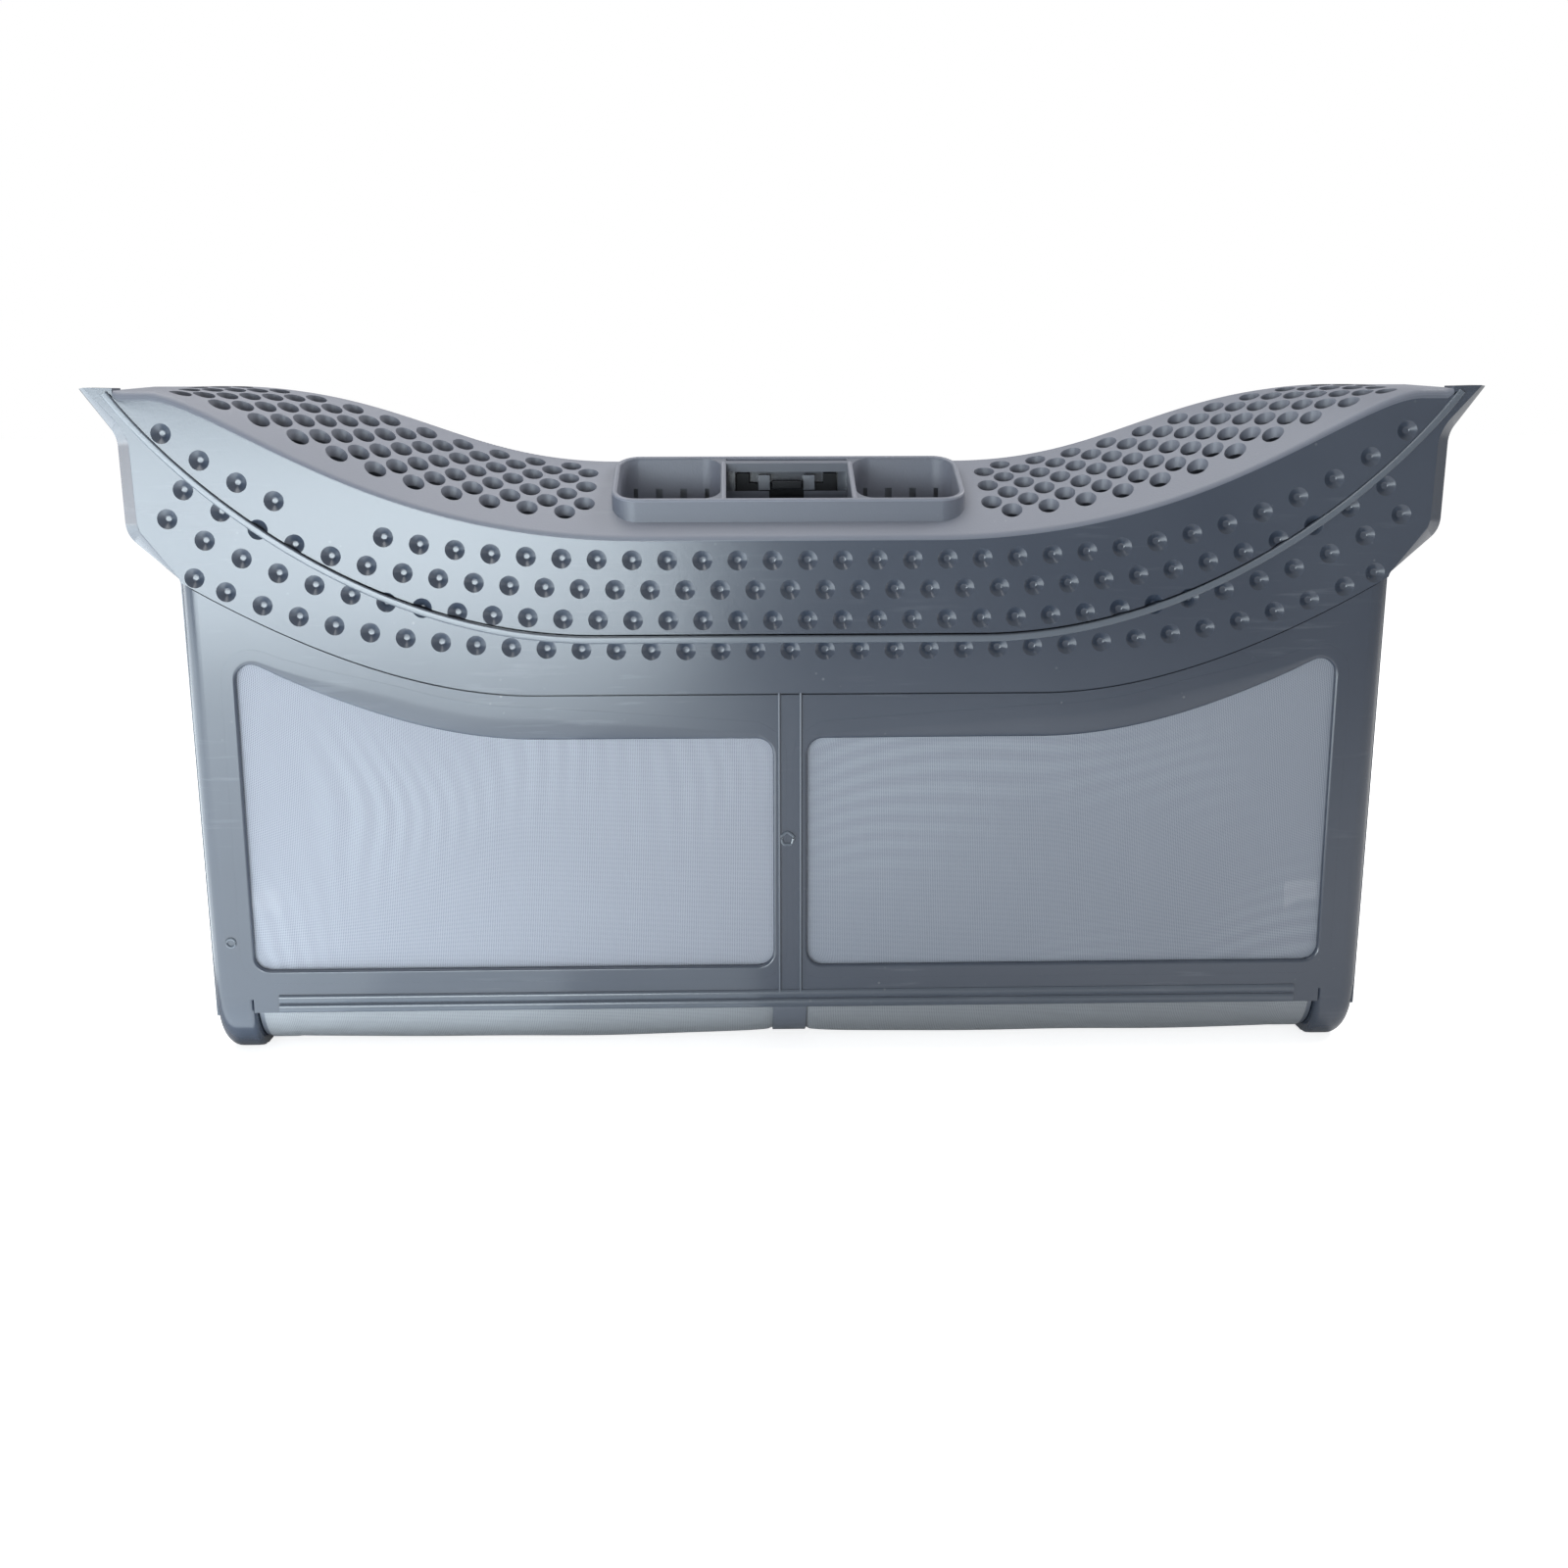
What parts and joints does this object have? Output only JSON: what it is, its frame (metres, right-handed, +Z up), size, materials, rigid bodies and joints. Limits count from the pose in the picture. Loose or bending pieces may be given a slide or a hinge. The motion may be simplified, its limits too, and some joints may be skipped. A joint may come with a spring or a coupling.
{
  "type": "tumble dryer lint filter",
  "caption": "Hinged lint filter case with a perforated crescent top, finger pockets, dimpled band, fine mesh windows and a curled mesh bottom; the rear half swings open to clear lint.",
  "frame": {"origin": "middle of the filter in X and Y, at the level of the flat feet of its end lobes", "axes": "+X along the filter to the right seen from its front, +Y from the dimpled front to the rear, +Z up towards the perforated top"},
  "size_m": [0.431, 0.0488, 0.216],
  "materials": {
    "case_plastic": "semi-gloss moulded plastic",
    "cover_plastic": "satin moulded plastic",
    "filter_cloth": "fine woven mesh",
    "latch_plastic": "dark matt plastic"
  },
  "bodies": {
    "front_half": {"front_panel": "case_plastic", "top_cover": "cover_plastic", "front_mesh_left": "filter_cloth", "front_mesh_right": "filter_cloth"},
    "rear_half": {"rear_panel": "case_plastic", "rear_mesh_left": "filter_cloth", "rear_mesh_right": "filter_cloth", "bottom_mesh_left": "filter_cloth", "bottom_mesh_right": "filter_cloth"},
    "latch_slider": {"latch": "latch_plastic"}
  },
  "joints": [
    {"name": "rear_hinge", "type": "hinge", "parent": "front_half", "child": "rear_half", "pos_m": [0, 0.0014, 0.0205], "axis": [-1, 0, 0], "range_deg": [0, 90]},
    {"name": "latch_press", "type": "slide", "parent": "front_half", "child": "latch_slider", "axis": [0, 0, -1], "range_m": [0, 0.003], "stiffness_N_per_m": 400, "springref_m": -0.002}
  ]
}
